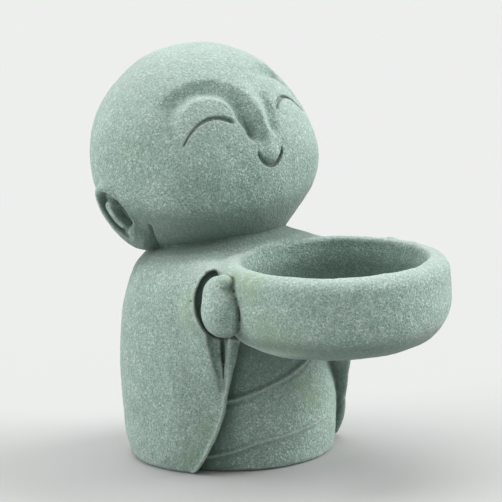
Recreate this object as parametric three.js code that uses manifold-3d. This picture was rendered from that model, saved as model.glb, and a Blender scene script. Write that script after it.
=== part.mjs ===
import * as THREE from 'three';
import { mergeVertices } from 'three/addons/utils/BufferGeometryUtils.js';
import Module from 'manifold-3d';

// Units are millimetres, Z is up and the figure faces along -Y.
// The origin is the centre of the flat underside of the robe.

// Sizes of the robe and sleeves
const BODY_HEIGHT = 140;
const BODY_HALF_WIDTH = 69.2;
const BODY_DEPTH_RATIO = 0.9;
const BODY_SQUARENESS = 2.2;
const FOOT_ROUNDING = 2.5;
const ROBE_HALF_WIDTH = 59.4;
const ROBE_HALF_DEPTH = 61.3;
const ROBE_SHIFT = 2.3;
const ROBE_TOP = 125;
const ROBE_BLEND = 1.5;
const ARM_RADIUS = 19;
const ARM_START = [41, 6, 108];
const ARM_END = [48, -46, 109];
const FLARE_LOW = [38, -37, 40];
const FLARE_HIGH = [47, -42, 98];
const FLARE_LOW_RADIUS = 12;
const FLARE_HIGH_RADIUS = 19.5;
const CREASE_RADIUS = 2.2;

// The sleeve's lip and mouth are cut along a diagonal of the plan, on each side
const DIAGONAL_DEG = 42;
const MOUTH_ACROSS = -5.5;
const MOUTH_HEIGHT = 107.2;
const MOUTH_HALF = [14.8, 20.8];
const MOUTH_FLOOR = 62;
// Between these heights the sleeve's lip turns from the diagonal to face forward
const CUFF_BOTTOM = 83;
const CUFF_TOP = 92;
const FLUTE_HIGH = [56.5, -51, 88];
const FLUTE_LOW = [52.5, -48.5, 54];
const FLUTE_HIGH_RADIUS = 5.6;
const FLUTE_LOW_RADIUS = 1;
const SLIT_CENTRE = [50, -47.8, 74.5];
const SLIT_WIDTH = 2;
const SLIT_DEPTH = 11;
const SLIT_LENGTH = 24;

// Sizes of the hands
const PALM_CENTRE = [67.2, -68.4, 107.3];
const PALM_HALF = [11.9, 13, 15.4];
const KNUCKLE_CENTRE = [65.5, -64.8, 118];
const KNUCKLE_HALF = [9, 10, 10];
const THUMB_CENTRE = [67.8, -71, 124.6];
const THUMB_HALF = [4.8, 5.6, 4.8];
const WRIST_START = [45, -41, 105];
const WRIST_END = [63, -64, 107];
const WRIST_RADIUS = 8.5;

// Sizes of the bowl
const BOWL_REACH = 92.4;
const BOWL_RIM_Z = 131;
const BOWL_HEIGHT = 51;
const BOWL_RADIUS = 67.5;
const BOWL_WALL = 13;
const BOWL_FLOOR = 13;
const RIM_ROUNDING = 9;
const BELLY_ROUNDING = 27;
const HOLLOW_ROUNDING = 14;

// Sizes and tilt of the head
const HEAD_CENTRE = [0.5, 23, 180];
const HEAD_HALF = [67.5, 66, 67.5];
const HEAD_TURN_DEG = -2;
const HEAD_ROLL_DEG = 6;
const HEAD_PITCH_DEG = 30;
const CHEEK_CENTRE = [29, 20, -18];
const CHEEK_RADIUS = 31;
const SOCKET_DEPTH = 5;
const SOCKET_RADIUS = 28;
const FAR_SOCKET_SHARE = 0.55;
const NOSE_HEIGHT = 4.6;
const EYE_GROOVE_RADIUS = 1.7;
const MOUTH_GROOVE_RADIUS = 1.9;
const EAR_HALF = [8.5, 15.5, 25.5];
const EAR_PLACE = [-15.5, -20];
const EAR_PROUD = 4.5;
const EAR_GROOVE_HALF = [8.4, 13.2];
const EAR_GROOVE_RADIUS = 2;

// Facet counts
const BODY_FRONT_COLUMNS = 9;
const BODY_BACK_COLUMNS = 12;
const BODY_ROWS = 25;
const LIP_DISTANCE = 67;
const HEAD_COLUMNS = 38;
const HEAD_ROWS = 25;
const BOWL_COLUMNS = 42;

// Surfaces are looked for this far from the middle of the body and of the head
const BODY_REACH = 95;
const HEAD_REACH = 90;

const rad = (deg) => deg * Math.PI / 180;
const clamp = (x, lo, hi) => Math.min(Math.max(x, lo), hi);
const smooth = (e0, e1, x) => {
  const t = clamp((x - e0) / (e1 - e0), 0, 1);
  return t * t * (3 - 2 * t);
};
const softMin = (a, b, k) => {
  const h = clamp(0.5 + 0.5 * (b - a) / k, 0, 1);
  return b + (a - b) * h - k * h * (1 - h);
};
const softMax = (a, b, k) => -softMin(-a, -b, k);

// Smooth curve through a few stations, each written as [position, value]
function curve(stations, x) {
  const n = stations.length;
  const slope = (i) => {
    const a = stations[Math.max(i - 1, 0)];
    const b = stations[Math.min(i + 1, n - 1)];
    return (b[1] - a[1]) / (b[0] - a[0]);
  };
  let i = 0;
  while (i < n - 2 && x > stations[i + 1][0]) i += 1;
  const [x0, y0] = stations[i];
  const [x1, y1] = stations[i + 1];
  const h = x1 - x0;
  const t = clamp((x - x0) / h, 0, 1);
  const t2 = t * t;
  const t3 = t2 * t;
  return (2 * t3 - 3 * t2 + 1) * y0 + (t3 - 2 * t2 + t) * h * slope(i)
    + (3 * t2 - 2 * t3) * y1 + (t3 - t2) * h * slope(i + 1);
}

// Half width of the figure by height, as a share of the greatest
const BODY_PROFILE = [[0, 0.925], [12, 0.968], [25, 0.985], [50, 1], [75, 0.986], [96, 0.945],
  [111, 0.873], [117, 0.834], [122, 0.773], [128, 0.672], [134, 0.535], [140, 0.39], [146, 0.2]];
// Front lip of the sleeve by height: below the hand across the diagonal, above it along Y
const LIP_ACROSS = [[0, -24], [9.4, -18.2], [18.1, -13.7], [27.6, -9.2], [38.7, -5.6], [48.7, -3.4],
  [62.9, -0.3], [80.6, 4.5], [92, 6]];
const CUFF_EDGE = [[80, -50], [99, -49], [113, -49.5], [121, -50], [126, -51], [128, -54], [131, -64],
  [140, -100]];
// Robe front size by height, as a share of the greatest
const ROBE_PROFILE = [[0, 0.977], [13, 0.992], [29, 1], [42, 0.983], [52, 0.936], [85, 0.85], [120, 0.77]];

function ellipseField(x, y, w, t, n) {
  const k = Math.pow(Math.pow(Math.abs(x) / w, n) + Math.pow(Math.abs(y) / t, n), 1 / n);
  return (k - 1) * Math.min(w, t) * 0.92;
}

// Distance to a rod with round ends whose radius changes from ra to rb
function rodField(p, a, b, ra, rb) {
  const ab = b.map((v, i) => v - a[i]);
  const ap = p.map((v, i) => v - a[i]);
  const t = clamp(ab.reduce((s, v, i) => s + v * ap[i], 0) / ab.reduce((s, v) => s + v * v, 0), 0, 1);
  return Math.hypot(...ap.map((v, i) => v - t * ab[i])) - ra - (rb - ra) * t;
}

// Distance in front of a lip that is given by height, allowing for how fast the lip moves
function lipField(value, stations, z, sign) {
  const slope = (curve(stations, z + 1) - curve(stations, z - 1)) / 2;
  return sign * (value - curve(stations, z)) / Math.hypot(1, slope);
}

// Distance to the outside of robe, arms and sleeves, used to push a cylinder onto the form
function bodyField(x, y, z) {
  const w = BODY_HALF_WIDTH * curve(BODY_PROFILE, z);
  const side = [Math.abs(x), y, z];
  const trunk = ellipseField(x, y, w, w * BODY_DEPTH_RATIO, BODY_SQUARENESS);
  let outer = softMin(trunk, rodField(side, ARM_START, ARM_END, ARM_RADIUS, ARM_RADIUS), 12);
  outer = softMin(outer, rodField(side, FLARE_LOW, FLARE_HIGH, FLARE_LOW_RADIUS, FLARE_HIGH_RADIUS), 8);
  const across = -side[0] * Math.cos(rad(DIAGONAL_DEG)) - y * Math.sin(rad(DIAGONAL_DEG));
  const high = smooth(CUFF_BOTTOM, CUFF_TOP, z);
  const front = lipField(across, LIP_ACROSS, z, 1) * (1 - high) + lipField(y, CUFF_EDGE, z, -1) * high;
  outer = softMax(outer, front, 1.6);
  const share = curve(ROBE_PROFILE, z);
  const robe = ellipseField(x - ROBE_SHIFT, y, ROBE_HALF_WIDTH * share, ROBE_HALF_DEPTH * share, 2);
  return softMin(outer, softMax(robe, z - ROBE_TOP, 5), ROBE_BLEND);
}

// Axes of the tilted head: side, front and up
function headAxes() {
  const a = rad(HEAD_TURN_DEG);
  const r = rad(HEAD_ROLL_DEG);
  const p = rad(HEAD_PITCH_DEG);
  const side = new THREE.Vector3(Math.cos(a) * Math.cos(r), Math.sin(a) * Math.cos(r), Math.sin(r));
  const level = new THREE.Vector3(Math.sin(a), -Math.cos(a), 0);
  level.addScaledVector(side, -side.dot(level)).normalize();
  let up = new THREE.Vector3().crossVectors(side, level);
  if (up.z < 0) up = up.negate();
  const front = level.clone().multiplyScalar(Math.cos(p)).addScaledVector(up, Math.sin(p));
  const top = up.clone().multiplyScalar(Math.cos(p)).addScaledVector(level, -Math.sin(p));
  return [side, front, top];
}
const AXES = headAxes();
const headPoint = (s, f, u) => new THREE.Vector3(...HEAD_CENTRE)
  .addScaledVector(AXES[0], s).addScaledVector(AXES[1], f).addScaledVector(AXES[2], u);

// Brow, eye sockets, nose and upper lip as height over the round head
function faceRelief(s, f, u) {
  const a = Math.abs(s);
  const beside = Math.min(a - 1.5 + 2.5 * smooth(0, -12, u), SOCKET_RADIUS);
  const edge = u > 3 ? SOCKET_RADIUS - Math.hypot(a - 29.5, u - 3) : beside;
  const socket = smooth(-1.5, 8.6, edge) * (1 - 0.9 * smooth(8.2, 14, edge))
    * smooth(-20, -11, u) * (1 - smooth(40, 54, a));
  const far = 1 - (1 - FAR_SOCKET_SHARE) * smooth(0, 8, s) * smooth(30, 16, s);
  const noseHalf = 8 - 0.5 * smooth(8, -12, u);
  const nose = smooth(28, -8, u) * smooth(-19.5, -13.5, u) * clamp(1 - (s / noseHalf) ** 2, 0, 1);
  const lip = smooth(8, 1, Math.hypot(s - 1.5, (u + 26) * 1.1));
  return (NOSE_HEIGHT * nose - SOCKET_DEPTH * far * socket + 1.3 * lip) * smooth(5, 30, f);
}
function headField(s, f, u) {
  const k = Math.hypot(s / HEAD_HALF[0], f / HEAD_HALF[1], u / HEAD_HALF[2]);
  const cheek = Math.hypot(Math.abs(s) - CHEEK_CENTRE[0], f - CHEEK_CENTRE[1], u - CHEEK_CENTRE[2]);
  const round = softMin((k - 1) * HEAD_HALF[1], cheek - CHEEK_RADIUS, 10);
  return round - faceRelief(s, f, u);
}

// Walk inwards from a far radius until the field is met
function meet(field, far) {
  let r = far;
  for (let i = 0; i < 60; i += 1) {
    const d = field(r);
    if (d < 0.02) break;
    r -= d * 0.8;
  }
  return r;
}

const wasm = await Module();
wasm.setup();
function solidOf(geometry) {
  const g = geometry.clone();
  g.deleteAttribute('normal');
  g.deleteAttribute('uv');
  const m = mergeVertices(g, 1e-3);
  const mesh = new wasm.Mesh({
    numProp: 3,
    vertProperties: new Float32Array(m.attributes.position.array),
    triVerts: new Uint32Array(m.index.array),
  });
  return new wasm.Manifold(mesh);
}
function geometryOf(solid) {
  const mesh = solid.getMesh();
  const g = new THREE.BufferGeometry();
  g.setAttribute('position', new THREE.BufferAttribute(new Float32Array(mesh.vertProperties), 3));
  g.setIndex(new THREE.BufferAttribute(new Uint32Array(mesh.triVerts), 1));
  g.computeVertexNormals();
  return g;
}
function move(geometry, change) {
  const at = geometry.attributes.position;
  const v = new THREE.Vector3();
  for (let i = 0; i < at.count; i += 1) {
    v.fromBufferAttribute(at, i);
    change(v);
    at.setXYZ(i, v.x, v.y, v.z);
  }
  return geometry;
}

// Robe with arms and sleeves: columns follow the sleeve edge so that its step stays crisp
function bodySolid() {
  const half = BODY_FRONT_COLUMNS + 1 + BODY_BACK_COLUMNS;
  const g = new THREE.CylinderGeometry(1, 1, 1, half * 2, BODY_ROWS, false);
  const lipStep = rad(1.3);
  const angleOf = (column, z) => {
    const side = column > half ? -1 : 1;
    const k = column > half ? 2 * half - column : column;
    const low = Math.acos(curve(LIP_ACROSS, Math.min(z, CUFF_TOP)) / LIP_DISTANCE) - rad(90 - DIAGONAL_DEG);
    const cuff = Math.atan2(52, -curve(CUFF_EDGE, Math.max(z, 80)));
    const lip = clamp(low + (cuff - low) * smooth(CUFF_BOTTOM, CUFF_TOP, z), rad(36), rad(66));
    if (k <= BODY_FRONT_COLUMNS) return side * (lip - lipStep) * k / BODY_FRONT_COLUMNS;
    const back = (k - BODY_FRONT_COLUMNS - 1) / BODY_BACK_COLUMNS;
    return side * (lip + lipStep + (Math.PI - lip - lipStep) * back);
  };
  return solidOf(move(g, (v) => {
    const radius = Math.hypot(v.x, v.z);
    const row = Math.round((v.y + 0.5) * BODY_ROWS);
    const foot = [0, 0.8, 3];
    const z = row < 3 ? foot[row] : 3 + (BODY_HEIGHT - 3) * (row - 2) / (BODY_ROWS - 2);
    if (radius < 0.5) {
      v.set(0, 0, z);
      return;
    }
    const turn = Math.atan2(v.x, v.z) / (2 * Math.PI);
    const column = Math.round((turn < 0 ? turn + 1 : turn) * 2 * half) % (2 * half);
    const angle = angleOf(column, z);
    const dx = Math.sin(angle);
    const dy = -Math.cos(angle);
    const inset = z < FOOT_ROUNDING
      ? FOOT_ROUNDING - Math.sqrt(FOOT_ROUNDING ** 2 - (FOOT_ROUNDING - z) ** 2) : 0;
    const r = meet((t) => bodyField(dx * t, dy * t, z), BODY_REACH) - inset;
    v.set(dx * r, dy * r, z);
  }));
}

// Head: a sphere whose pole looks out of the face, finer rows near the face
function headSolid() {
  const g = new THREE.SphereGeometry(1, HEAD_COLUMNS, HEAD_ROWS);
  return solidOf(move(g, (v) => {
    const polar = Math.acos(clamp(v.y, -1, 1)) / Math.PI;
    const angle = Math.PI * (0.62 * polar + 0.38 * polar * polar * polar);
    const around = Math.atan2(v.z, v.x);
    const s = Math.sin(angle) * Math.cos(around);
    const u = -Math.sin(angle) * Math.sin(around);
    const f = Math.cos(angle);
    const r = meet((t) => headField(s * t, f * t, u * t), HEAD_REACH);
    v.copy(headPoint(s * r, f * r, u * r));
  }));
}

function ellipsoid(centre, half, columns, rows) {
  const g = new THREE.SphereGeometry(1, columns, rows);
  g.scale(...half);
  g.translate(...centre);
  return solidOf(g);
}

// Groove cutter: a tube through points given by a function of 0..1
function groove(pointAt, radius, steps, closed = false) {
  const points = [];
  const count = closed ? steps : steps + 1;
  for (let i = 0; i < count; i += 1) points.push(pointAt(i / steps));
  const path = new THREE.CatmullRomCurve3(points, closed);
  const tube = new THREE.TubeGeometry(path, steps, radius, 6, closed);
  if (closed) return solidOf(tube);
  return solidOf(capped(tube, steps, 6));
}
function capped(tube, steps, sides) {
  const at = tube.attributes.position;
  const index = Array.from(tube.index.array);
  const ring = sides + 1;
  const last = steps * ring;
  for (let i = 1; i < sides - 1; i += 1) {
    index.push(0, i, i + 1);
    index.push(last, last + i + 1, last + i);
  }
  const g = new THREE.BufferGeometry();
  g.setAttribute('position', at);
  g.setAttribute('normal', tube.attributes.normal);
  g.setAttribute('uv', tube.attributes.uv);
  g.setIndex(index);
  return g;
}
// Point on the face surface above side s and height u
function onFace(s, u) {
  const f = meet((t) => headField(s, t, u), 90);
  return headPoint(s, f, u);
}
function eyeGroove(side) {
  return groove((t) => {
    const a = 17.5 + 29 * t;
    return onFace(side * a, 4.6 - 0.035 * (a - 30.5) ** 2);
  }, EYE_GROOVE_RADIUS, 12);
}
function mouthGroove() {
  return groove((t) => {
    const s = -9 + 18 * t;
    return onFace(s + 1.5, -32.5 + 0.08 * s * s);
  }, MOUTH_GROOVE_RADIUS, 10);
}

// Ear: a flattened egg set flat on the side of the head, with a groove inside its rim
function earFrame(side) {
  const [f, u] = EAR_PLACE;
  const s = meet((t) => headField(side * t, f, u), 90);
  const out = new THREE.Vector3(side * s / HEAD_HALF[0] ** 2, f / HEAD_HALF[1] ** 2, u / HEAD_HALF[2] ** 2);
  out.normalize();
  const up = new THREE.Vector3(0, 0, 1).addScaledVector(out, -out.z).normalize();
  const across = new THREE.Vector3().crossVectors(up, out).normalize().multiplyScalar(side);
  const base = new THREE.Vector3(side * s, f, u).addScaledVector(out, EAR_PROUD - EAR_HALF[0]);
  return (o, a, b) => {
    const q = base.clone().addScaledVector(out, o).addScaledVector(across, a).addScaledVector(up, b);
    return headPoint(q.x, q.y, q.z);
  };
}
function earSolid(side) {
  const place = earFrame(side);
  return solidOf(move(new THREE.SphereGeometry(1, 16, 12), (v) => {
    v.copy(place(side * v.x * EAR_HALF[0], v.z * EAR_HALF[1], v.y * EAR_HALF[2]));
  }));
}
function earGroove(side) {
  const place = earFrame(side);
  const [ga, gb] = EAR_GROOVE_HALF;
  return groove((t) => {
    const w = rad(-60 + 300 * t);
    const a = ga * Math.cos(w);
    const b = gb * Math.sin(w) + 3;
    const k = Math.sqrt(Math.max(1 - (a / EAR_HALF[1]) ** 2 - (b / EAR_HALF[2]) ** 2, 0));
    return place(EAR_HALF[0] * k, a, b);
  }, EAR_GROOVE_RADIUS, 18);
}

// Crease across the robe front: height stations along x give its line
function crease(stations) {
  const first = stations[0][0];
  const last = stations[stations.length - 1][0];
  return groove((t) => {
    const x = first + (last - first) * t;
    const z = curve(stations, x);
    const y = 0.8 - meet((r) => bodyField(x, -r, z), BODY_REACH);
    return new THREE.Vector3(x, y, z);
  }, CREASE_RADIUS, 14);
}

// Bowl: outer shape and hollow are both turned profiles
function arc(points, cx, cy, r, from, to, steps) {
  for (let i = 0; i <= steps; i += 1) {
    const a = rad(from + (to - from) * i / steps);
    points.push(new THREE.Vector2(cx + r * Math.cos(a), cy + r * Math.sin(a)));
  }
}
function turned(points) {
  const g = new THREE.LatheGeometry(points, BOWL_COLUMNS);
  g.rotateX(Math.PI / 2);
  g.translate(0, -BOWL_REACH, 0);
  return solidOf(g);
}
function bowlOuter() {
  const base = BOWL_RIM_Z - BOWL_HEIGHT;
  const p = [new THREE.Vector2(0, base)];
  arc(p, BOWL_RADIUS - BELLY_ROUNDING, base + BELLY_ROUNDING, BELLY_ROUNDING, -90, 0, 6);
  arc(p, BOWL_RADIUS - RIM_ROUNDING, BOWL_RIM_Z - RIM_ROUNDING, RIM_ROUNDING, 0, 90, 4);
  p.push(new THREE.Vector2(0, BOWL_RIM_Z));
  return turned(p);
}
function bowlHollow() {
  const base = BOWL_RIM_Z - BOWL_HEIGHT + BOWL_FLOOR;
  const inner = BOWL_RADIUS - BOWL_WALL;
  const p = [new THREE.Vector2(0, base)];
  arc(p, inner - HOLLOW_ROUNDING - 1, base + HOLLOW_ROUNDING, HOLLOW_ROUNDING, -90, 0, 4);
  p.push(new THREE.Vector2(inner, BOWL_RIM_Z - 1.5));
  p.push(new THREE.Vector2(inner + 2, BOWL_RIM_Z + 0.5));
  p.push(new THREE.Vector2(inner + 2, BOWL_RIM_Z + 8));
  p.push(new THREE.Vector2(0, BOWL_RIM_Z + 8));
  return turned(p);
}

// Straight rod between two points of one side, its radius changing from ra to rb
function rod(side, a, b, ra, rb) {
  const from = new THREE.Vector3(side * a[0], a[1], a[2]);
  const to = new THREE.Vector3(side * b[0], b[1], b[2]);
  const g = new THREE.CylinderGeometry(rb, ra, from.distanceTo(to), 12, 1);
  const along = to.clone().sub(from).normalize();
  g.applyQuaternion(new THREE.Quaternion().setFromUnitVectors(new THREE.Vector3(0, 1, 0), along));
  g.translate(...from.add(to).multiplyScalar(0.5).toArray());
  return solidOf(g);
}
// Oval cutter for the sleeve's mouth, open along the diagonal and a little upwards
function mouth(side) {
  const length = 60;
  const g = new THREE.CylinderGeometry(1, 1, length, 22, 1);
  g.translate(0, length / 2, 0);
  g.scale(MOUTH_HALF[0], 1, MOUTH_HALF[1]);
  const rise = 0.2126;
  const turn = rad(DIAGONAL_DEG);
  return solidOf(move(g, (v) => {
    const across = MOUTH_ACROSS + v.x;
    const reach = MOUTH_FLOOR + v.y;
    v.set(side * (reach * Math.sin(turn) - across * Math.cos(turn)),
      -reach * Math.cos(turn) - across * Math.sin(turn), MOUTH_HEIGHT + side * v.z + rise * (reach - 75));
  }));
}
function slit(side) {
  const g = new THREE.BoxGeometry(SLIT_WIDTH, SLIT_DEPTH, SLIT_LENGTH);
  g.rotateZ(side * rad(DIAGONAL_DEG));
  g.translate(side * SLIT_CENTRE[0], SLIT_CENTRE[1], SLIT_CENTRE[2]);
  return solidOf(g);
}

let statue = bodySolid();
const check = (name, s) => {
  if (s.volume() < 0) throw new Error(`${name} is inside out`);
  return s;
};
for (const side of [-1, 1]) {
  const at = (c) => [side * c[0], c[1], c[2]];
  statue = statue.subtract(check('mouth', mouth(side)));
  const flute = rod(side, FLUTE_LOW, FLUTE_HIGH, FLUTE_LOW_RADIUS, FLUTE_HIGH_RADIUS);
  statue = statue.subtract(check('flute', flute));
  statue = statue.subtract(check('slit', slit(side)));
  statue = statue.add(check('wrist', rod(side, WRIST_START, WRIST_END, WRIST_RADIUS, WRIST_RADIUS)));
  statue = statue.add(ellipsoid(at(PALM_CENTRE), PALM_HALF, 14, 10));
  statue = statue.add(ellipsoid(at(KNUCKLE_CENTRE), KNUCKLE_HALF, 12, 8));
  statue = statue.add(ellipsoid(at(THUMB_CENTRE), THUMB_HALF, 10, 8));
}
statue = statue.add(crease([[-41, 44.5], [-31.5, 47.5], [-22, 50.8], [-9, 54.6], [6, 60.6], [20, 67]]));
statue = statue.add(crease([[-46, 11.5], [-39, 14.3], [-30.5, 17.9], [-13.5, 20.7], [0.5, 22.7], [12, 24]]));
let head = headSolid();
for (const side of [-1, 1]) {
  head = head.add(check('ear', earSolid(side)));
  head = head.subtract(check('ear groove', earGroove(side)));
  head = head.subtract(check('eye', eyeGroove(side)));
}
head = head.subtract(check('mouth', mouthGroove()));
statue = statue.add(check('bowl', bowlOuter())).add(check('head', head));
statue = statue.subtract(check('hollow', bowlHollow()));

const stone = new THREE.MeshStandardMaterial({ color: 0x8fa19c, roughness: 0.92, metalness: 0 });
stone.name = 'stone';
const figure = new THREE.Mesh(geometryOf(statue), stone);
figure.name = 'jizo_statue';
const group = new THREE.Group();
group.name = 'jizo_bowl_statue';
group.add(figure);
export default group;
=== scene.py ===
import math
import bpy
import numpy as np
from mathutils import Matrix, Vector


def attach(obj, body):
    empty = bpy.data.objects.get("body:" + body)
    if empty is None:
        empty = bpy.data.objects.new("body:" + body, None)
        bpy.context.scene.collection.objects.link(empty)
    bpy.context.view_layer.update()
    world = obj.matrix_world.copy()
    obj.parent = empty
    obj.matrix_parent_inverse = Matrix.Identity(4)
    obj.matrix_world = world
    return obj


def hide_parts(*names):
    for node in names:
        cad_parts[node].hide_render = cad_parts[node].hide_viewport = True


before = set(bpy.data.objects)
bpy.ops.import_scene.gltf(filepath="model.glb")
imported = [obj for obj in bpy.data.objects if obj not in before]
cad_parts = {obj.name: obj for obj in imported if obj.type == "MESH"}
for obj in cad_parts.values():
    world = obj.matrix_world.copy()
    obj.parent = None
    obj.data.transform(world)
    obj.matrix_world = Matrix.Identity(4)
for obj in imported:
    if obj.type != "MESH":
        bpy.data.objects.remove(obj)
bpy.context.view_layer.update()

# The figure is one distance field, negative inside, whose surface becomes the mesh.
# Lengths are millimetres until the mesh is written in metres.
# Z is up, the figure faces -Y, and the origin is the centre of the flat underside.

# Slow waves that make the surface slightly uneven: how many, their length and their height
WAVE_KINDS = ((10, 34.0, 0.06), (14, 15.0, 0.03), (18, 6.0, 0.02))
WAVE_SEED = 7

# Head: a round ball turned and leaning a little to one side, its face tipped up.
# The cheek's centre is in the head's own axes: sideways, forwards and up.
HEAD_CENTRE = np.array([0.5, 23.0, 180.0])
HEAD_HALF = np.array([67.5, 66.0, 67.5])
HEAD_TURN_DEG = -2.0
HEAD_ROLL_DEG = 6.0
HEAD_PITCH_DEG = 30.0
CHEEK_CENTRE = (29, 20, -18)
CHEEK_RADIUS = 31.0
CHEEK_BLEND = 10
CARVING_REACH = 12

# Face, in the head's axes: centres are given sideways and up
BROW_CENTRE = (29.5, 3)
BROW_RADIUS = 28
SOCKET_DEPTH = 4.6
SOCKET_DEEPENING = 1.0
FAR_SOCKET_LOSS = 0.45
NOSE_HEIGHT = 4.6
NOSE_HALF_WIDTH = 8.0
NOSE_NARROWING = 0.5
LIP_CENTRE = (1.5, -26)
LIP_HEIGHT = 1.3
MOUTH_CENTRE = (1.5, -32.5)
MOUTH_BEND = 0.08
MOUTH_HALF_LENGTH = 8.6
MOUTH_HALF_WIDTH = 2.1
MOUTH_DEPTH = 2.6
EYE_CENTRE = (30.5, 4.6)
EYE_BEND = -0.035
EYE_INNER_END = -12.5
EYE_OUTER_END = 16
EYE_HALF_WIDTH = 1.9
EYE_DEPTH = 2.3

# Ears, in the head's axes: centres and ends are given forwards and up
EAR_CENTRE = (-15.5, -20)
EAR_HALF = (15.5, 25.5)
EAR_HEIGHT = 5.0
RING_CENTRE = (-14.9, -17.4)
RING_HALF = (7.6, 13.0)
RING_DEPTH = 5.4
PLATE_DEPTH = 1.2
EAR_HOLE_CENTRE = (-11.0, -19.2)
EAR_HOLE_HALF = (2.8, 6.8)
EAR_HOLE_DEPTH = 6.0
LOBE_CREASE_TOP = (1.7, -33.4)
LOBE_CREASE_END = (-12.0, -45.0)
LOBE_CREASE_HALF_WIDTH = 1.7
LOBE_CREASE_DEPTH = 1.8

# Trunk with both sleeves: half width by height
TRUNK_Z = [0, 12, 25, 38, 50, 63, 75, 88, 96, 103, 111, 117, 122, 128, 134, 140, 146]
TRUNK_W = [64, 67, 68.2, 69, 69.2, 69, 68.2, 67, 65.4, 63.2, 60.4, 57.7, 53.5, 46.5, 37, 27, 14]
TRUNK_DEPTH_SHARE = 0.9
TRUNK_SQUARENESS = 2.2
TRUNK_TOP = 144
ARM_START = (41, 6, 108)
ARM_END = (48, -46, 109)
ARM_RADIUS = 19
FLARE_LOW = (38, -37, 40)
FLARE_HIGH = (47, -42, 98)
FLARE_LOW_RADIUS = 12
FLARE_HIGH_RADIUS = 19.5

# Below the hand the sleeve's front is cut along a diagonal of the plan: OUTWARD runs along the cut
# and ACROSS runs across it, 42 degrees from sideways. From the hand upwards the cut faces forward.
ACROSS = np.array([-0.743, -0.669])
OUTWARD = np.array([0.669, -0.743])
LIP_Z = [0, 9.4, 18.1, 27.6, 38.7, 48.7, 62.9, 80.6, 92]
LIP_ACROSS = [-24, -18.2, -13.7, -9.2, -5.6, -3.4, -0.3, 4.5, 6]
LIP_BEAD_HEIGHT = 1.0
LIP_BEAD_SETBACK = 1.4
LIP_BEAD_HALF_WIDTH = 1.3
CUFF_Z = [80, 99, 113, 121, 126, 128, 131, 140]
CUFF_Y = [-50, -49, -49.5, -50, -51, -54, -64, -100]
CUFF_BOTTOM = 83
CUFF_TOP = 92

# Oval opening of the sleeve around the hand, which rises outwards along the diagonal
OPENING_ACROSS = -5.5
OPENING_HEIGHT = 107.2
OPENING_HALF = (14.8, 20.8)
OPENING_RISE = 0.2126
OPENING_REACH = 75
OPENING_FLOOR = 62

# Flute below the opening, and the slit where the sleeve's two layers part
FLUTE_HIGH = (56.5, -51, 87)
FLUTE_LOW = (52.5, -48.5, 54)
FLUTE_HIGH_RADIUS = 5.6
FLUTE_LOW_RADIUS = 1.0
SLIT_CENTRE = np.array([50.0, -47.8, 74.5])
SLIT_HALF_WIDTH = 1.2
SLIT_HALF_DEPTH = 7
SLIT_HALF_LENGTH = 13.5

# Front of the robe between the sleeves: half width and half depth by height
ROBE_Z = [0, 13, 29, 42, 52, 85, 120]
ROBE_HALF_WIDTH = [58, 58.9, 59.4, 58.4, 55.6, 52, 47]
ROBE_HALF_DEPTH = [60, 60.8, 61.3, 60.3, 57.4, 51, 46]
ROBE_SHIFT = 2.3
ROBE_TOP = 125

# Creases across the robe's front: stations along X, their heights, and where the crease fades out
CREASES = (([-50, -41, -31.5, -22, -9, 6, 20], [42, 44.5, 47.5, 50.8, 54.6, 60.6, 67], (22, 36)),
           ([-50, -39, -30.5, -13.5, 0.5, 20], [10, 14.3, 17.9, 20.7, 22.7, 25], (8, 26)))
CREASE_HEIGHT = 1.5
CREASE_HALF_WIDTH = 1.3
SHOULDER_HEIGHT = 0.9
CREASE_GROOVE_DEPTH = 0.9
CREASE_GROOVE_BELOW = 3.0
CREASE_GROOVE_HALF_WIDTH = 1.6

# Hands: centres and half sizes, mirrored to both sides
PALM = ((67.2, -68.4, 107.3), (11.9, 13.0, 15.4))
KNUCKLES = ((65.5, -64.8, 118.0), (8.5, 9.5, 9.5))
THUMB = ((67.8, -71.0, 124.6), (4.8, 5.6, 4.8))
WRIST_START = (45, -41, 105)
WRIST_END = (63, -64, 107)
WRIST_RADIUS = 8.5
HAND_GROOVE_WIDTH = 1.3
HAND_GROOVE_DEPTH = 2.5

# Bowl: rounded rim, fuller rounding below, hollow that widens a little upwards
BOWL_Y = -92.4
BOWL_TOP = 131.0
BOWL_BASE = 80.0
BOWL_RADIUS = 67.5
BOWL_WALL = 13.0
BOWL_FLOOR = 13.0
RIM_ROUNDING = 9
RIM_BAND = 13
BELLY_ROUNDING = 27
HOLLOW_ROUNDING = 14
HOLLOW_TAPER = 0.04
HOLLOW_RADIUS = BOWL_RADIUS-BOWL_WALL

# Widths over which neighbouring forms run into each other
ARM_BLEND = 12
FLARE_BLEND = 8
ROBE_BLEND = 1.5
BOWL_BLEND = 5.0
HAND_BLEND = 0.5
HOLLOW_BLEND = 3.0
NECK_BLEND = 1.5
FOOT_BLEND = 3.0

# Mesh: corners of the box that is searched, and the size of its cells
BOX_LOW = (-84, -170, -4)
BOX_HIGH = (84, 98, 256)
CELL = 2.1

# Yellow-green stains: place and radius of each
STAINS = [((-65, -90, 126), 13), ((-63, -73, 127), 9), ((-65, -104, 98), 15), ((-58, -115, 91), 12),
          ((1, -59, 48), 8), ((9, -60, 42), 9), ((-67, -40, 107), 9), ((-67, -36, 97), 8),
          ((-60, -28, 11), 9), ((-55, -40, 29), 8), ((40, -40, 60), 12), ((50, -110, 100), 16),
          ((20, 55, 30), 18), ((-45, 45, 90), 16)]

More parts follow.
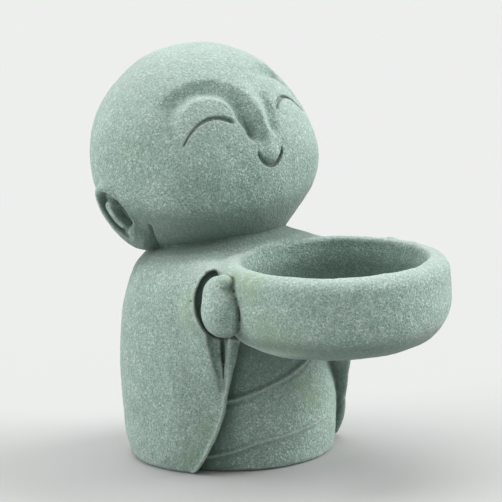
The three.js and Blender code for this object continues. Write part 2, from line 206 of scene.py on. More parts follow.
# Stone colours, linear
DEEP_GREEN = (0.268, 0.388, 0.338, 1)
PALE_GREEN = (0.322, 0.446, 0.392, 1)
WARM_GREEN = (0.298, 0.412, 0.318, 1)
MOTTLE_DARK = (0.180, 0.270, 0.235, 1)
SPECK_DARK = (0.105, 0.165, 0.148, 1)
SPECK_LIGHT = (0.580, 0.680, 0.625, 1)
GRAIN_DARK = (0.150, 0.215, 0.200, 1)
GRAIN_LIGHT = (0.640, 0.700, 0.660, 1)
SPOT_LIGHT = (0.680, 0.740, 0.690, 1)
SPOT_DARK = (0.080, 0.120, 0.110, 1)
# colour of painted shade in hollows and corners
HOLLOW_SHADE = (0.06, 0.10, 0.09, 1)
# pale grey of up-facing faces: partly rain-washed stone, partly painted light from above
WASHED_AND_LIT_GREY = (0.345, 0.405, 0.380, 1)
STAIN_GREEN = (0.235, 0.325, 0.205, 1)
# colour of painted shade under overhanging parts, inside the bowl and on the robe below the bowl
UNDER_SHADE = (0.085, 0.135, 0.110, 1)
RUBBED_PALE = (0.46, 0.53, 0.49, 1)

# Floor, in metres, and the studio
FLOOR_HALF = 9.0
FLOOR_GREY = (0.43, 0.435, 0.43, 1)
SKY_WHITE = (1.0, 1.0, 1.0, 1)
SKY_STRENGTH = 0.46
# Soft suns: direction from the object to the light, spread in degrees, strength
SUNS = {"overhead": ((0.05, 0.30, 1.0), 60, 2.35),
        "high_right": ((0.70, -0.46, 0.54), 40, 3.2),
        "low_left": ((-0.62, 0.58, 0.34), 50, 2.0)}

# Camera: the photograph's view, slightly above and turned a little about its own axis, in metres
CAMERA_TARGET = Vector((0, -0.02, 0.125))
CAMERA_AZIMUTH = math.radians(-42)
CAMERA_ELEVATION = math.radians(12)
CAMERA_ROLL = math.radians(2)
CAMERA_DISTANCE = 1.8
SENSOR_WIDTH = 36.0
PHOTO_WIDTH_PX = 502
FOCAL_LENGTH_PX = 3000


def soft_min(a, b, k):
    h = np.clip(0.5 + 0.5*(b-a)/k, 0, 1)
    return b + (a-b)*h - k*h*(1-h)


def soft_max(a, b, k):
    return -soft_min(-a, -b, k)


def smooth(e0, e1, x):
    t = np.clip((x-e0)/(e1-e0), 0, 1)
    return t*t*(3-2*t)


# Smooth curve through stations xs with values ys
def curve(x, xs, ys):
    xs = np.asarray(xs, float)
    ys = np.asarray(ys, float)
    m = np.gradient(ys, xs)
    i = np.clip(np.searchsorted(xs, x)-1, 0, len(xs)-2)
    h = xs[i+1]-xs[i]
    t = np.clip((x-xs[i])/h, 0, 1)
    return ((2*t**3-3*t**2+1)*ys[i] + (t**3-2*t**2+t)*h*m[i]
            + (-2*t**3+3*t**2)*ys[i+1] + (t**3-t**2)*h*m[i+1])


def curve_slope(x, xs, ys):
    return (curve(x+1, xs, ys)-curve(x-1, xs, ys))/2


# Round rod between two points, whose radius may change on the way
def rod(p, start, end, start_radius, end_radius):
    a = np.asarray(start, float)
    run = np.asarray(end, float)-a
    t = np.clip(((p-a)@run)/(run@run), 0, 1)
    return np.linalg.norm(p-a-t[:, None]*run, axis=1)-(start_radius+(end_radius-start_radius)*t)


def ellipsoid(p, centre, half):
    half = np.asarray(half, float)
    return (np.sqrt((((p-np.asarray(centre))/half)**2).sum(1))-1)*half.min()


def oval(x, y, half_width, half_depth, squareness):
    n = squareness
    k = ((np.abs(x)/half_width)**n + (np.abs(y)/half_depth)**n)**(1/n)
    return (k-1)*np.minimum(half_width, half_depth)*0.92


# 1 on the ellipse, less inside it
def ellipse(a, b, centre, half):
    return np.hypot((a-centre[0])/half[0], (b-centre[1])/half[1])


def from_segment(a, b, start, end):
    run = np.subtract(end, start)
    t = np.clip(((a-start[0])*run[0]+(b-start[1])*run[1])/(run@run), 0, 1)
    return np.hypot(a-start[0]-run[0]*t, b-start[1]-run[1]*t)


# Distance from a line that bends as a parabola from start to end. The way past an end counts stretch times.
def from_bent_line(x, u, level, bend, start, end, stretch=1.0):
    line = level+bend*x**2
    past = np.maximum(np.maximum(start-x, x-end), 0)*stretch
    return np.hypot((u-line)/np.sqrt(1+(2*bend*x)**2), past)


def mirrored(p):
    return np.stack([np.abs(p[:, 0]), p[:, 1], p[:, 2]], 1)


def make_waves():
    rng = np.random.default_rng(WAVE_SEED)
    waves = []
    for count, length, height in WAVE_KINDS:
        for _ in range(count):
            v = rng.normal(size=3)
            v *= 2*math.pi/length/np.linalg.norm(v)*rng.uniform(0.7, 1.3)
            waves.append((v, rng.uniform(0, 6.28), height))
    return waves


WAVES = make_waves()


def uneven(p):
    h = np.zeros(len(p))
    for v, phase, height in WAVES:
        h += height*np.sin(p@v+phase)
    return h


# Rows are the head's axes: sideways, forwards and up
def head_axes():
    a, r, p = map(math.radians, (HEAD_TURN_DEG, HEAD_ROLL_DEG, HEAD_PITCH_DEG))
    side = np.array([math.cos(a)*math.cos(r), math.sin(a)*math.cos(r), math.sin(r)])
    front = np.array([math.sin(a), -math.cos(a), 0.0])
    front = front - side*(side@front)
    front = front/np.linalg.norm(front)
    up = np.cross(front, side)
    return np.stack([side, math.cos(p)*front+math.sin(p)*up, -math.sin(p)*front+math.cos(p)*up])


HEAD_AXES = head_axes()


# Depth of the eye sockets, under the brow's arch and beside the nose
def sockets(s, u):
    a = np.abs(s)
    bridge = BROW_CENTRE[0]-BROW_RADIUS
    under_arch = BROW_RADIUS-np.hypot(a-BROW_CENTRE[0], u-BROW_CENTRE[1])
    beside_nose = np.minimum(a-bridge+2.5*smooth(0, -12, u), BROW_RADIUS)
    inset = np.where(u > BROW_CENTRE[1], under_arch, beside_nose)
    share = smooth(-1.5, 8.6, inset)*(1-0.9*smooth(8.2, 14, inset))*smooth(-20, -11, u)*(1-smooth(40, 54, a))
    far = 1-FAR_SOCKET_LOSS*smooth(0, 8, s)*smooth(30, 16, s)
    return (SOCKET_DEPTH+SOCKET_DEEPENING*smooth(12, -4, u))*share*far


def nose(s, u):
    half_width = NOSE_HALF_WIDTH-NOSE_NARROWING*smooth(8, -12, u)
    ridge = smooth(28, -8, u)*smooth(-19.5, -13.5, u)
    return NOSE_HEIGHT*ridge*np.clip(1-(s/half_width)**2, 0, 1)


def upper_lip(s, u):
    return LIP_HEIGHT*smooth(8, 1, np.hypot(s-LIP_CENTRE[0], (u-LIP_CENTRE[1])*1.1))


# The smile's groove thins towards the far corner
def mouth(s, u):
    away = from_bent_line(s-MOUTH_CENTRE[0], u, MOUTH_CENTRE[1], MOUTH_BEND,
                          -MOUTH_HALF_LENGTH, MOUTH_HALF_LENGTH, 1.2)
    half_width = MOUTH_HALF_WIDTH-0.7*smooth(-2, 9, s)
    return MOUTH_DEPTH*smooth(half_width, 0.2*half_width, away)


# Closed eyes: arched grooves that get thinner and shallower towards the temples
def eyes(s, u):
    a = np.abs(s)
    away = from_bent_line(a-EYE_CENTRE[0], u, EYE_CENTRE[1], EYE_BEND, EYE_INNER_END, EYE_OUTER_END)
    half_width = EYE_HALF_WIDTH-1.2*smooth(22, 47, a)
    return (EYE_DEPTH-1.2*smooth(26, 47, a))*smooth(half_width, 0.2*half_width, away)


def face(s, f, u):
    h = nose(s, u)-sockets(s, u)+upper_lip(s, u)-mouth(s, u)-eyes(s, u)
    return h*smooth(5, 30, f)


def ears(s, f, u):
    # oval ear, flush with the cheek along its front
    flush = smooth(-13, -2, f)*smooth(-60, -28, u)
    h = EAR_HEIGHT*smooth(1.05, 0.84, ellipse(f, u, EAR_CENTRE, EAR_HALF))*(1-flush)
    # groove inside the rim, open at its lower front, around a lower plate with a hole
    ring = ellipse(f, u, RING_CENTRE, RING_HALF)
    opening = smooth(-26, -32, u)*smooth(-19, -13, f)
    h -= PLATE_DEPTH*smooth(1.0, 0.72, ring)
    h -= RING_DEPTH*smooth(0.36, 0.10, np.abs(ring-1))*(1-opening)*(0.35+0.65*smooth(-33, -20, u))
    h -= EAR_HOLE_DEPTH*smooth(1.25, 0.65, ellipse(f, u, EAR_HOLE_CENTRE, EAR_HOLE_HALF))
    # short crease in front of the lobe
    crease = from_segment(f, u, LOBE_CREASE_TOP, LOBE_CREASE_END)
    h -= LOBE_CREASE_DEPTH*smooth(LOBE_CREASE_HALF_WIDTH, 0.3, crease)
    return h*smooth(25, 40, np.abs(s))


def head(p):
    q = (p-HEAD_CENTRE)@HEAD_AXES.T
    s, f, u = q.T
    d = (np.sqrt(((q/HEAD_HALF)**2).sum(1))-1)*HEAD_HALF.min()
    cheek = np.linalg.norm(mirrored(q)-CHEEK_CENTRE, axis=1)-CHEEK_RADIUS
    d = soft_min(d, cheek, CHEEK_BLEND)
    near = np.abs(d) < CARVING_REACH
    h = np.zeros(len(p))
    if near.any():
        h[near] = face(s[near], f[near], u[near]) + ears(s[near], f[near], u[near])
    return d-h


# Trunk, arms and sleeves before their fronts are cut
def sleeve_mass(m):
    x, y, z = m.T
    w = curve(z, TRUNK_Z, TRUNK_W)
    trunk = soft_max(oval(x, y, w, w*TRUNK_DEPTH_SHARE, TRUNK_SQUARENESS), z-TRUNK_TOP, 4)
    arms = rod(m, ARM_START, ARM_END, ARM_RADIUS, ARM_RADIUS)
    flare = rod(m, FLARE_LOW, FLARE_HIGH, FLARE_LOW_RADIUS, FLARE_HIGH_RADIUS)
    return soft_min(soft_min(trunk, arms, ARM_BLEND), flare, FLARE_BLEND)


# Front of the sleeves: a diagonal lip with a thin bead below, a cuff that faces forward above
def cut_fronts(d, m):
    y, z = m[:, 1], m[:, 2]
    lip = curve(z, LIP_Z, LIP_ACROSS)
    low_cut = (m[:, :2]@ACROSS-lip)/np.sqrt(1+curve_slope(z, LIP_Z, LIP_ACROSS)**2)
    bead = LIP_BEAD_HEIGHT*np.exp(-((low_cut+LIP_BEAD_SETBACK)/LIP_BEAD_HALF_WIDTH)**2)
    d = d - bead*smooth(80, 60, z)
    high_cut = (curve(z, CUFF_Z, CUFF_Y)-y)/np.sqrt(1+curve_slope(z, CUFF_Z, CUFF_Y)**2)
    high = smooth(CUFF_BOTTOM, CUFF_TOP, z)
    return soft_max(d, low_cut*(1-high)+high_cut*high, 1.6)


# Opening of the sleeve behind the hand, with a flute running down from it
def open_sleeves(d, m):
    z = m[:, 2]
    across = m[:, :2]@ACROSS
    reach = m[:, :2]@OUTWARD
    half_across, half_height = OPENING_HALF
    level = z-OPENING_RISE*(reach-OPENING_REACH)-OPENING_HEIGHT
    opening = (np.hypot((across-OPENING_ACROSS)/half_across, level/half_height)-1)*half_across
    d = soft_max(d, -np.maximum(opening, OPENING_FLOOR-reach), 1.2)
    return soft_max(d, -rod(m, FLUTE_HIGH, FLUTE_LOW, FLUTE_HIGH_RADIUS, FLUTE_LOW_RADIUS), 2.5)


# Section of a crease by height above its line: thin ridge, soft slope below it, and a groove in the slope
def crease_section(k):
    ridge = CREASE_HEIGHT*np.exp(-(k/CREASE_HALF_WIDTH)**2)
    shoulder = SHOULDER_HEIGHT*smooth(-9, -1, k)*smooth(1.5, -0.5, k)
    groove = CREASE_GROOVE_DEPTH*np.exp(-((k+CREASE_GROOVE_BELOW)/CREASE_GROOVE_HALF_WIDTH)**2)
    return ridge+shoulder-groove


def robe_front(p):
    x, y, z = p.T
    half_width = curve(z, ROBE_Z, ROBE_HALF_WIDTH)
    half_depth = curve(z, ROBE_Z, ROBE_HALF_DEPTH)
    d = oval(x-ROBE_SHIFT, y, half_width, half_depth, 2.0)
    for stations, heights, (fade_start, fade_end) in CREASES:
        share = smooth(0, -20, y)*(1-smooth(fade_start, fade_end, x))
        d = d - share*crease_section(z-curve(x, stations, heights))
    return soft_max(d, z-ROBE_TOP, 5)


def cut_slits(d, m):
    q = m-SLIT_CENTRE
    across = q[:, :2]@ACROSS
    reach = q[:, :2]@OUTWARD
    slit = np.sqrt((across/SLIT_HALF_WIDTH)**2+(reach/SLIT_HALF_DEPTH)**2+(q[:, 2]/SLIT_HALF_LENGTH)**2)
    return soft_max(d, (1-slit)*SLIT_HALF_WIDTH, 0.8)


def robe(p):
    m = mirrored(p)
    sleeves = open_sleeves(cut_fronts(sleeve_mass(m), m), m)
    return cut_slits(soft_min(sleeves, robe_front(p), ROBE_BLEND), m)


def hands(p):
    m = mirrored(p)
    fist = soft_min(ellipsoid(m, *PALM), ellipsoid(m, *KNUCKLES), 5)
    fist = soft_min(fist, ellipsoid(m, *THUMB), 0.8)
    return soft_min(fist, rod(m, WRIST_START, WRIST_END, WRIST_RADIUS, WRIST_RADIUS), 3)


# Distance outside a rounded corner, where both offsets are measured from the rounding's centre
def rounded(across, along, radius):
    outside = np.hypot(np.maximum(across, 0), np.maximum(along, 0))
    return outside + np.minimum(np.maximum(across, along), 0) - radius


def bowl_outside(p):
    r = np.hypot(p[:, 0], p[:, 1]-BOWL_Y)
    z = p[:, 2]
    top = rounded(r-(BOWL_RADIUS-RIM_ROUNDING), z-(BOWL_TOP-RIM_ROUNDING), RIM_ROUNDING)
    low = rounded(r-(BOWL_RADIUS-BELLY_ROUNDING), (BOWL_BASE+BELLY_ROUNDING)-z, BELLY_ROUNDING)
    return np.where(z > BOWL_TOP-RIM_BAND, top, low)


def bowl_hollow(p):
    r = np.hypot(p[:, 0], p[:, 1]-BOWL_Y)
    z = p[:, 2]
    corner = HOLLOW_RADIUS-HOLLOW_ROUNDING+HOLLOW_TAPER*(z-BOWL_TOP)
    return rounded(r-corner, (BOWL_BASE+BOWL_FLOOR+HOLLOW_ROUNDING)-z, HOLLOW_ROUNDING)


def field(p):
    d = soft_min(robe(p), bowl_outside(p), BOWL_BLEND)
    # the hands press into the bowl, with a narrow groove around them
    grip = hands(p)
    d = soft_max(d, -np.maximum(grip-HAND_GROOVE_WIDTH, -(d+HAND_GROOVE_DEPTH)), 0.6)
    d = soft_min(d, grip, HAND_BLEND)
    d = soft_max(d, -bowl_hollow(p), HOLLOW_BLEND)
    d = soft_min(d, head(p), NECK_BLEND)
    d = d - uneven(p)
    return soft_max(d, -p[:, 2], FOOT_BLEND)


def gradient(p, step=0.3):
    return np.stack([field(p+axis*step)-field(p-axis*step) for axis in np.eye(3)], 1)/(2*step)


def normals(p):
    g = gradient(p)
    return g/(np.linalg.norm(g, axis=1, keepdims=True)+1e-9)


# Field values on a grid, a few slices at a time
def sample_grid(axes):
    values = np.empty([len(a) for a in axes], np.float32)
    yy, zz = np.meshgrid(axes[1], axes[2], indexing="ij")
    for i in range(0, len(axes[0]), 8):
        xs = axes[0][i:i+8]
        p = np.empty((len(xs),)+yy.shape+(3,))
        p[..., 0] = xs[:, None, None]
        p[..., 1] = yy
        p[..., 2] = zz
        values[i:i+8] = field(p.reshape(-1, 3)).reshape(p.shape[:3])
    return values


# Surface nets: one vertex in each cell that the surface crosses, one quad for each grid edge that it crosses
def surface_nets(low, high, cell):
    axes = [np.arange(a, b+cell, cell) for a, b in zip(low, high)]
    n = [len(a) for a in axes]
    values = sample_grid(axes)
    inside = values < 0
    cells = tuple(k-1 for k in n)
    total = np.zeros(cells+(3,), np.float32)
    hits = np.zeros(cells, np.float32)
    grid = np.stack(np.meshgrid(*[np.arange(k, dtype=np.float32) for k in n], indexing="ij"), -1)
    crossings = []
    for ax in range(3):
        b, c = [k for k in range(3) if k != ax]
        first = [slice(None)]*3
        second = [slice(None)]*3
        first[ax] = slice(0, -1)
        second[ax] = slice(1, None)
        first = tuple(first)
        second = tuple(second)
        v0, v1 = values[first], values[second]
        cross = inside[first] != inside[second]
        t = np.where(cross, v0/np.where(cross, v0-v1, 1), 0)
        place = grid[first].copy()
        place[..., ax] += t
        place *= cross[..., None]
        for db in (0, 1):
            for dc in (0, 1):
                source = [slice(None)]*3
                source[b] = slice(db, n[b]-1+db)
                source[c] = slice(dc, n[c]-1+dc)
                total += place[tuple(source)]
                hits += cross[tuple(source)]
        crossings.append((ax, b, c, cross, inside[first]))
    used = hits > 0
    number = np.full(cells, -1, np.int64)
    number[used] = np.arange(used.sum())
    verts = total[used]/hits[used][:, None]*cell+np.array(low)
    quads = np.concatenate([quads_across(number, *crossing) for crossing in crossings])
    return verts.astype(float), split_quads(verts, quads)


# Quads around the crossed grid edges along one axis, facing outwards
def quads_across(number, ax, b, c, cross, first_inside):
    inner = [slice(None)]*3
    inner[b] = slice(1, -1)
    inner[c] = slice(1, -1)
    at = np.argwhere(cross[tuple(inner)])
    at[:, b] += 1
    at[:, c] += 1
    ring = []
    for db, dc in ((1, 1), (0, 1), (0, 0), (1, 0)):
        k = at.copy()
        k[:, b] -= db
        k[:, c] -= dc
        ring.append(number[tuple(k.T)])
    quads = np.stack(ring, 1)
    keep = first_inside[tuple(at.T)]
    if ax == 1:
        keep = ~keep
    quads[~keep] = quads[~keep][:, ::-1]
    return quads


# Two triangles from each quad, along its shorter diagonal
def split_quads(verts, quads):
    p = verts[quads]
    first = np.linalg.norm(p[:, 0]-p[:, 2], axis=1) <= np.linalg.norm(p[:, 1]-p[:, 3], axis=1)
    a = quads[first]
    b = quads[~first]
    return np.concatenate([a[:, [0, 1, 2]], a[:, [0, 2, 3]], b[:, [0, 1, 3]], b[:, [1, 2, 3]]])


# Move vertices along the gradient onto the surface
def project(verts, rounds, most=0.8):
    for _ in range(rounds):
        g = gradient(verts)
        move = -g*(field(verts)/np.maximum((g**2).sum(1), 0.15))[:, None]
        length = np.linalg.norm(move, axis=1)
        move *= np.minimum(1, most/np.maximum(length, 1e-9))[:, None]
        verts = verts+move
    return verts


# Move vertices towards the mean of their neighbours
def relax(verts, tris, share=0.5):
    total = np.zeros_like(verts)
    count = np.zeros(len(verts))
    for i, j in ((0, 1), (1, 2), (2, 0)):
        np.add.at(total, tris[:, i], verts[tris[:, j]])
        np.add.at(total, tris[:, j], verts[tris[:, i]])
        np.add.at(count, tris[:, i], 1)
        np.add.at(count, tris[:, j], 1)
    return verts+(total/count[:, None]-verts)*share


# Split long edges where the surface turns, so that grooves and rims get finer facets
def refine(verts, tris, angle, shortest):
    g = normals(verts)
    edges = np.sort(np.concatenate([tris[:, [0, 1]], tris[:, [1, 2]], tris[:, [2, 0]]]), 1)
    key, back = np.unique(edges[:, 0]*len(verts)+edges[:, 1], return_inverse=True)
    a, b = key//len(verts), key % len(verts)
    length = np.linalg.norm(verts[a]-verts[b], axis=1)
    split = ((g[a]*g[b]).sum(1) < math.cos(math.radians(angle))) & (length > shortest)
    middle = np.full(len(key), -1, np.int64)
    middle[split] = len(verts)+np.arange(split.sum())
    verts = np.concatenate([verts, (verts[a[split]]+verts[b[split]])/2])
    # new vertex on each side of each triangle, or -1
    mids = middle[back.reshape(3, -1).T]
    count = (mids >= 0).sum(1)
    out = [tris[count == 0]]
    for i in range(3):
        j, k = (i+1) % 3, (i+2) % 3
        one = (count == 1) & (mids[:, i] >= 0)
        v, m = tris[one], mids[one]
        out += [np.stack([v[:, i], m[:, i], v[:, k]], 1), np.stack([m[:, i], v[:, j], v[:, k]], 1)]
        two = (count == 2) & (mids[:, i] < 0)
        v, m = tris[two], mids[two]
        out += [np.stack([v[:, k], m[:, k], m[:, j]], 1), np.stack([v[:, i], v[:, j], m[:, j]], 1),
                np.stack([v[:, i], m[:, j], m[:, k]], 1)]
    v, m = tris[count == 3], mids[count == 3]
    out += [np.stack([v[:, 0], m[:, 0], m[:, 2]], 1), np.stack([m[:, 0], v[:, 1], m[:, 1]], 1),
            np.stack([m[:, 2], m[:, 1], v[:, 2]], 1), m]
    return verts, np.concatenate(out)


def figure_surface():
    verts, tris = surface_nets(BOX_LOW, BOX_HIGH, CELL)
    verts = project(verts, 2, CELL)
    verts = project(relax(verts, tris), 2)
    verts, tris = refine(verts, tris, 9, 1.3)
    verts = project(relax(verts, tris, 0.25), 2)
    verts, tris = refine(verts, tris, 10, 0.9)
    verts = project(verts, 3)
    verts[verts[:, 2] < 0.05, 2] = 0.0
    return verts, tris


# How open each point is to the sky around it: 1 in the open, less in grooves and corners. The material
# paints shade where it is low.
def openness(verts, g):
    share = np.ones(len(verts))
    for reach, weight in ((1.2, 0.30), (3.0, 0.30), (8.0, 0.25), (18.0, 0.15)):
        share -= weight*np.clip((reach-field(verts+g*reach))/reach, 0, 1)
    return share


# Painted shade under overhanging parts: how much of each point lies beneath the figure, within a short reach
# above it
def overhang_shade(verts, g):
    x, y, z = verts.T
    share = np.zeros(len(verts))
    for height in (10.0, 24.0, 45.0):
        above = field(verts+g*0.3*height+np.array([0, 0, height]))
        share += np.clip(1-above/(0.3*height), 0, 1)/3
    # painted shade inside the bowl, below its rim
    in_bowl = (np.hypot(x, y-BOWL_Y) < HOLLOW_RADIUS+1) & (z > BOWL_BASE+6)
    share = np.maximum(share, 0.75*smooth(128, 114, z)*in_bowl)
    # painted shadow of the bowl on the robe's front, darker nearer the bowl
    under_bowl = smooth(10, 85, z)*smooth(-36, -48, y)*smooth(54, 46, np.abs(x))
    share = np.maximum(share, 0.85*under_bowl*(z < 90))
    # less painted shade on the outsides of the sleeves
    return share*(1-0.75*smooth(46, 56, np.abs(x))*smooth(92, 84, z))


def stains(verts):
    share = np.zeros(len(verts))
    for place, radius in STAINS:
        share = np.maximum(share, np.exp(-((verts-np.array(place))**2).sum(1)/radius**2))
    return share


# Values at each vertex that the stone's material reads: weathering marks and masks of painted shade and
# light
def weathering_and_shade(verts):
    g = normals(verts)
    shaded_below = overhang_shade(verts, g)
    return {"open_sky": openness(verts, g),
            "proud": np.clip((1.6+field(verts-g*1.6))/0.8, 0, 1),
            "shaded_below": shaded_below,
            "stain": stains(verts),
            "washed_and_lit": smooth(0.15, 0.9, g[:, 2])*(1-shaded_below)}


def mesh_object(name, verts, tris, attributes):
    mesh = bpy.data.meshes.new(name)
    mesh.vertices.add(len(verts))
    mesh.vertices.foreach_set("co", (verts/1000).astype(np.float32).ravel())
    mesh.loops.add(len(tris)*3)
    mesh.loops.foreach_set("vertex_index", tris.astype(np.int32).ravel())
    mesh.polygons.add(len(tris))
    mesh.polygons.foreach_set("loop_start", np.arange(0, len(tris)*3, 3, dtype=np.int32))
    mesh.update(calc_edges=True)
    mesh.validate()
    mesh.shade_smooth()
    for key, values in attributes.items():
        layer = mesh.attributes.new(key, "FLOAT", "POINT")
        layer.data.foreach_set("value", np.asarray(values, np.float32))
    obj = bpy.data.objects.new(name, mesh)
    bpy.context.scene.collection.objects.link(obj)
    return obj


# Node tree of one material
class Nodes:
    def __init__(self, name):
        self.mat = bpy.data.materials.new(name)
        self.mat.use_nodes = True
        self.tree = self.mat.node_tree
        self.tree.nodes.clear()

    def add(self, kind, **settings):
        node = self.tree.nodes.new(kind)
        for key, value in settings.items():
            if key.startswith("in_"):
                node.inputs[key[3:].replace("_", " ")].default_value = value
            else:
                setattr(node, key, value)
        return node

    def link(self, a, b):
        self.tree.links.new(a, b)

    def math(self, operation, a, b):
        node = self.add("ShaderNodeMath", operation=operation)
        for socket, x in zip(node.inputs, (a, b)):
            if isinstance(x, (int, float)):
                socket.default_value = x
            else:
                self.link(x, socket)
        return node.outputs[0]

    def ramp(self, value, lo, hi, out_lo, out_hi):
        node = self.add("ShaderNodeMapRange", interpolation_type="SMOOTHSTEP")
        self.link(value, node.inputs["Value"])
        for key, x in (("From Min", lo), ("From Max", hi), ("To Min", out_lo), ("To Max", out_hi)):
            node.inputs[key].default_value = x
        return node.outputs["Result"]

    def mix(self, factor, a, b):
        node = self.add("ShaderNodeMix", data_type="RGBA")
        for key, x in (("Factor", factor), ("A", a), ("B", b)):
            socket = [s for s in node.inputs if s.name == key and s.enabled][0]
            if isinstance(x, tuple):
                socket.default_value = x
            else:
                self.link(x, socket)
        return [s for s in node.outputs if s.enabled][0]

    def attribute(self, name):
        return self.add("ShaderNodeAttribute", attribute_name=name).outputs["Fac"]

    def noise(self, scale, detail, rough=0.55):
        node = self.add("ShaderNodeTexNoise", in_Scale=scale, in_Detail=detail, in_Roughness=rough)
        self.link(self.add("ShaderNodeTexCoord").outputs["Object"], node.inputs["Vector"])
        return node.outputs["Fac"]

    # cells of a size: distance from the cell's centre, and three random values of the cell
    def cells(self, scale):
        node = self.add("ShaderNodeTexVoronoi", feature="F1", in_Scale=scale)
        self.link(self.add("ShaderNodeTexCoord").outputs["Object"], node.inputs["Vector"])
        parts = self.add("ShaderNodeSeparateColor")
        self.link(node.outputs["Color"], parts.inputs["Color"])
        return node.outputs["Distance"], parts.outputs

    def finish(self, shader):
        out = self.add("ShaderNodeOutputMaterial")
        self.link(shader.outputs["BSDF"], out.inputs["Surface"])
        return self.mat


# Round spots in the few cells whose random value is high
def spots(n, value, distance, edge, core):
    return n.math("MULTIPLY", n.ramp(value, 0.90, 0.95, 0.0, 1.0), n.ramp(distance, edge, core, 0.0, 1.0))


# Green stone with light and dark sand grains
def grain_colour(n, tone):
    colour = n.mix(n.ramp(n.noise(28.0, 4.0), 0.35, 0.65, 0.0, 1.0), DEEP_GREEN, PALE_GREEN)
    colour = n.mix(n.ramp(n.noise(11.0, 2.0), 0.50, 0.70, 0.0, 0.5), colour, WARM_GREEN)
    colour = n.mix(n.ramp(n.noise(160.0, 2.0), 0.62, 0.35, 0.0, 0.30), colour, MOTTLE_DARK)
    speck = n.noise(1050.0, 2.0, 0.7)
    colour = n.mix(n.ramp(speck, 0.50, 0.30, 0.0, 0.80), colour, SPECK_DARK)
    colour = n.mix(n.ramp(speck, 0.52, 0.70, 0.0, 0.62), colour, SPECK_LIGHT)
    colour = n.mix(n.ramp(tone["Red"], 0.0, 1.0, 0.0, 0.28), colour, GRAIN_DARK)
    colour = n.mix(n.ramp(tone["Green"], 0.82, 0.98, 0.0, 0.45), colour, GRAIN_LIGHT)
    distance, value = n.cells(560.0)
    light = spots(n, value["Red"], distance, 0.34, 0.16)
    colour = n.mix(n.math("MULTIPLY", light, 0.55), colour, SPOT_LIGHT)
    dark = spots(n, value["Green"], distance, 0.36, 0.18)
    return n.mix(n.math("MULTIPLY", dark, 0.60), colour, SPOT_DARK)


# Painted shade in hollows, up-facing faces paler (rain-washed and painted light from above), stained faces,
# painted shade under overhanging parts and rubbed edges
def weather_and_shade_colour(n, colour):
    # painted shade in hollows and corners, darker where the point is less open
    colour = n.mix(n.ramp(n.attribute("open_sky"), 0.95, 0.35, 0.0, 0.75), colour, HOLLOW_SHADE)
    # up-facing faces paler and greyer: partly rain-washed, partly painted light from above
    colour = n.mix(n.math("MULTIPLY", n.attribute("washed_and_lit"), 0.35), colour, WASHED_AND_LIT_GREY)
    broken = n.ramp(n.noise(230.0, 3.0, 0.7), 0.38, 0.60, 0.25, 1.0)
    stained = n.math("MULTIPLY", n.attribute("stain"), broken)
    colour = n.mix(n.math("MULTIPLY", stained, 0.80), colour, STAIN_GREEN)
    # painted shade under overhanging parts, inside the bowl and on the robe below the bowl
    colour = n.mix(n.ramp(n.attribute("shaded_below"), 0.15, 1.0, 0.0, 0.70), colour, UNDER_SHADE)
    return n.mix(n.ramp(n.attribute("proud"), 0.2, 1.0, 0.0, 0.3), colour, RUBBED_PALE)


# Height of the sandy surface: two grain sizes, raised cells and scattered pits
def sandy_height(n, grain):
    height = n.math("ADD", n.math("MULTIPLY", n.noise(520.0, 3.0, 0.6), 0.9),
                    n.math("MULTIPLY", n.noise(1500.0, 2.0), 0.35))
    height = n.math("ADD", height, n.math("MULTIPLY", grain, -0.25))
    pit_distance, _ = n.cells(240.0)
    hole = n.math("SUBTRACT", 1.0, n.ramp(pit_distance, 0.0, 0.28, 0.0, 1.0))
    picked = n.ramp(n.noise(90.0, 1.0), 0.55, 0.68, 0.0, 1.0)
    level = n.math("SUBTRACT", 1.0, n.math("MULTIPLY", hole, picked))
    return n.math("ADD", height, n.math("MULTIPLY", level, 0.5))


def stone_material():
    n = Nodes("stone_grain")
    grain, tone = n.cells(900.0)
    shader = n.add("ShaderNodeBsdfPrincipled", in_Specular_IOR_Level=0.35, in_Sheen_Weight=0.22,
                   in_Sheen_Roughness=0.45)
    n.link(weather_and_shade_colour(n, grain_colour(n, tone)), shader.inputs["Base Color"])
    n.link(n.ramp(tone["Blue"], 0.0, 1.0, 0.78, 0.97), shader.inputs["Roughness"])
    bump = n.add("ShaderNodeBump", in_Strength=0.75, in_Distance=0.0011)
    n.link(sandy_height(n, grain), bump.inputs["Height"])
    n.link(bump.outputs["Normal"], shader.inputs["Normal"])
    return n.finish(shader)


def floor_material():
    n = Nodes("pale_floor")
    shader = n.add("ShaderNodeBsdfPrincipled", in_Base_Color=FLOOR_GREY, in_Roughness=0.9,
                   in_Specular_IOR_Level=0.1)
    return n.finish(shader)


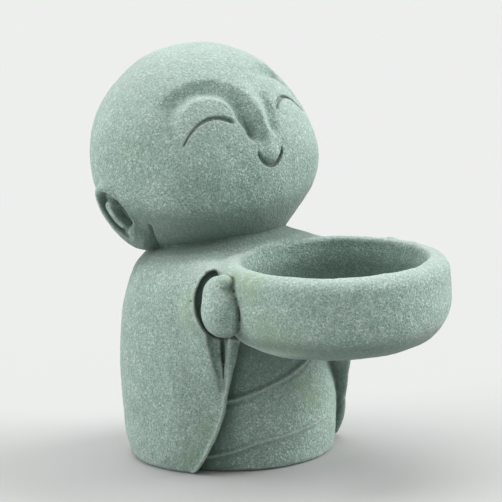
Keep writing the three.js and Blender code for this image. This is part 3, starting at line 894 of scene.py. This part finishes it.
def add_statue():
    verts, tris = figure_surface()
    statue = mesh_object("jizo_figure", verts, tris, weathering_and_shade(verts))
    statue.data.materials.append(stone_material())
    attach(statue, "root")
    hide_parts("jizo_statue")


def add_floor():
    mesh = bpy.data.meshes.new("floor")
    s = FLOOR_HALF
    mesh.from_pydata([(-s, -s, 0), (s, -s, 0), (s, s, 0), (-s, s, 0)], [], [(0, 1, 2, 3)])
    mesh.materials.append(floor_material())
    floor = bpy.data.objects.new("floor", mesh)
    bpy.context.scene.collection.objects.link(floor)


def add_sky():
    world = bpy.data.worlds.new("studio")
    bpy.context.scene.world = world
    world.use_nodes = True
    background = world.node_tree.nodes["Background"]
    background.inputs["Color"].default_value = SKY_WHITE
    background.inputs["Strength"].default_value = SKY_STRENGTH


def add_sun(name, towards, spread, strength):
    data = bpy.data.lights.new(name, "SUN")
    data.angle = math.radians(spread)
    data.energy = strength
    sun = bpy.data.objects.new(name, data)
    sun.rotation_mode = "QUATERNION"
    sun.rotation_quaternion = Vector(towards).to_track_quat("Z", "Y")
    bpy.context.scene.collection.objects.link(sun)


def add_camera():
    az, el, roll = CAMERA_AZIMUTH, CAMERA_ELEVATION, CAMERA_ROLL
    back = Vector((math.sin(az)*math.cos(el), -math.cos(az)*math.cos(el), math.sin(el)))
    level = Vector((math.cos(az), math.sin(az), 0))
    upright = back.cross(level)
    right = level*math.cos(roll)-upright*math.sin(roll)
    up = level*math.sin(roll)+upright*math.cos(roll)
    data = bpy.data.cameras.new("camera")
    data.sensor_width = SENSOR_WIDTH
    data.lens = SENSOR_WIDTH*FOCAL_LENGTH_PX/PHOTO_WIDTH_PX
    data.clip_start = 0.05
    data.clip_end = 50.0
    camera = bpy.data.objects.new("camera", data)
    camera.rotation_mode = "QUATERNION"
    camera.rotation_quaternion = Matrix((right, up, back)).transposed().to_quaternion()
    camera.location = CAMERA_TARGET+back*CAMERA_DISTANCE
    bpy.context.scene.collection.objects.link(camera)
    bpy.context.scene.camera = camera
    bpy.context.scene.view_settings.view_transform = "Standard"


add_statue()
add_floor()
add_sky()
for sun_name, (towards, spread, strength) in SUNS.items():
    add_sun(sun_name, towards, spread, strength)
add_camera()
